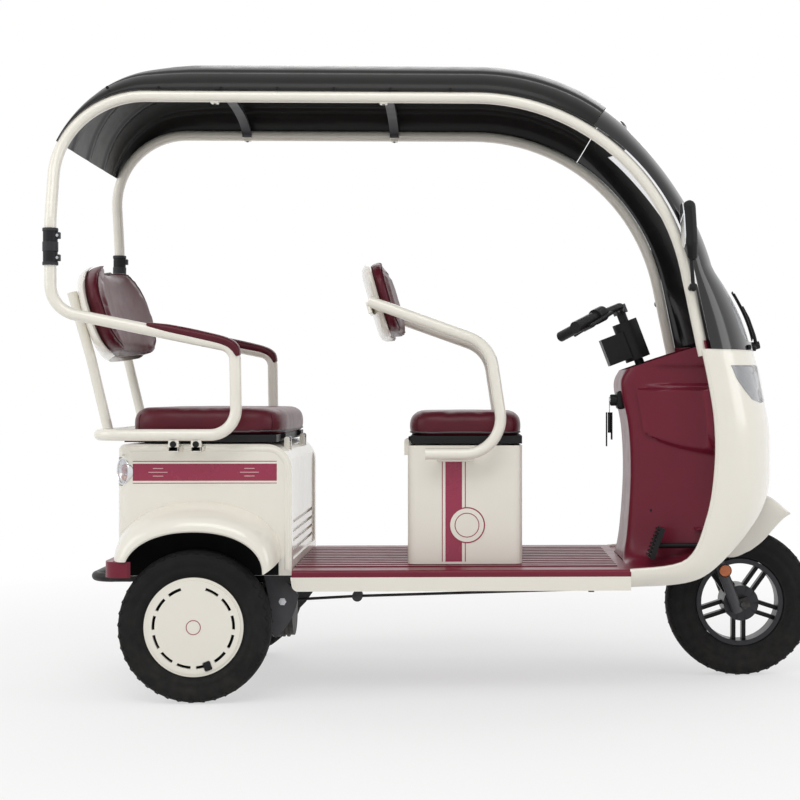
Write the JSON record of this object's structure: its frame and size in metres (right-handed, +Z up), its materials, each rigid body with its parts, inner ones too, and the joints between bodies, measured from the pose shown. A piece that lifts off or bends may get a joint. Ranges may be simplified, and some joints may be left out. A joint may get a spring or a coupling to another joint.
{
  "type": "covered electric passenger tricycle",
  "caption": "Covered electric tricycle: driver seat, two-place rear bench on a storage body, curved roof and windscreen, steered front wheel.",
  "frame": {"origin": "on the ground under the middle of the outer box", "axes": "+X forward to the steered wheel, +Y to the left, +Z up"},
  "size_m": [2.17, 0.8846, 1.7908],
  "materials": {
    "cream_panel": "gloss moulded body panel, cream",
    "cream_tube": "gloss powder coat, cream",
    "maroon_panel": "satin moulded plastic, maroon",
    "maroon_vinyl": "grained upholstery vinyl, maroon",
    "black_panel": "gloss black sheet",
    "black_plastic": "matte moulded plastic, black",
    "black_frame": "satin black paint",
    "cast_dark": "dark painted casting",
    "alloy_black": "satin black painted alloy",
    "tyre_rubber": "matte rubber",
    "clear_lens": "clear lamp lens",
    "screen_glass": "clear screen with a faint violet tint"
  },
  "bodies": {
    "main_body": {"chassis_frame": "black_frame", "floor_deck": "maroon_panel", "side_skirts": "cream_panel", "front_fairing": "cream_panel", "headlamps": "clear_lens", "leg_shield": "maroon_panel", "canopy_frame": "cream_tube", "post_sleeves": "black_frame", "canopy_roof": "black_panel", "screen_frame": "black_panel", "windscreen": "screen_glass", "mirrors": "black_plastic", "rear_body": "cream_panel", "rear_fenders": "cream_panel", "tail_lamps": "clear_lens", "rear_bumper": "maroon_panel", "bumper_tube": "black_frame", "battery_pack": "black_plastic", "rear_axle": "cast_dark", "rear_springs": "black_frame", "brake_rods": "black_frame", "rear_seat_frame": "cream_tube", "armrest_pads": "maroon_vinyl", "rear_backrest_shell": "cream_panel", "rear_backrest_pad": "maroon_vinyl", "seat_box": "cream_panel", "driver_seat_frame": "cream_tube", "driver_backrest_shell": "cream_panel", "driver_backrest_pad": "maroon_vinyl"},
    "rear_lid": {"rear_seat_pan": "black_plastic", "rear_cushion": "maroon_vinyl"},
    "driver_lid": {"driver_seat_pan": "black_plastic", "driver_cushion": "maroon_vinyl"},
    "steering": {"steering_fork": "black_frame", "front_mudguard": "cream_panel", "handlebar": "black_frame", "grips_and_levers": "black_plastic"},
    "front_wheel": {"front_rim": "alloy_black", "front_tyre": "tyre_rubber"},
    "rear_wheel_right": {"rear_rim_right": "alloy_black", "rear_tyre_right": "tyre_rubber", "wheel_cover_right": "cream_panel"},
    "rear_wheel_left": {"rear_rim_left": "alloy_black", "rear_tyre_left": "tyre_rubber", "wheel_cover_left": "cream_panel"}
  },
  "joints": [
    {"name": "steer", "type": "hinge", "parent": "main_body", "child": "steering", "pos_m": [0.84833, 0, 0.21083], "axis": [-0.3584, 0, 0.9336], "range_deg": [-35, 35]},
    {"name": "front_wheel_spin", "type": "hinge", "parent": "steering", "child": "front_wheel", "pos_m": [0.867, 0, 0.218], "axis": [0, 1, 0], "continuous": true},
    {"name": "rear_wheel_right_spin", "type": "hinge", "parent": "main_body", "child": "rear_wheel_right", "pos_m": [-0.679, -0.39, 0.207], "axis": [0, 1, 0], "continuous": true},
    {"name": "rear_wheel_left_spin", "type": "hinge", "parent": "main_body", "child": "rear_wheel_left", "pos_m": [-0.679, 0.39, 0.207], "axis": [0, 1, 0], "continuous": true},
    {"name": "rear_lid_hinge", "type": "hinge", "parent": "main_body", "child": "rear_lid", "pos_m": [-0.451, 0, 0.7085], "axis": [0, 1, 0], "range_deg": [0, 80]},
    {"name": "driver_lid_hinge", "type": "hinge", "parent": "main_body", "child": "driver_lid", "pos_m": [-0.116, 0, 0.7005], "axis": [0, -1, 0], "range_deg": [0, 60]}
  ]
}
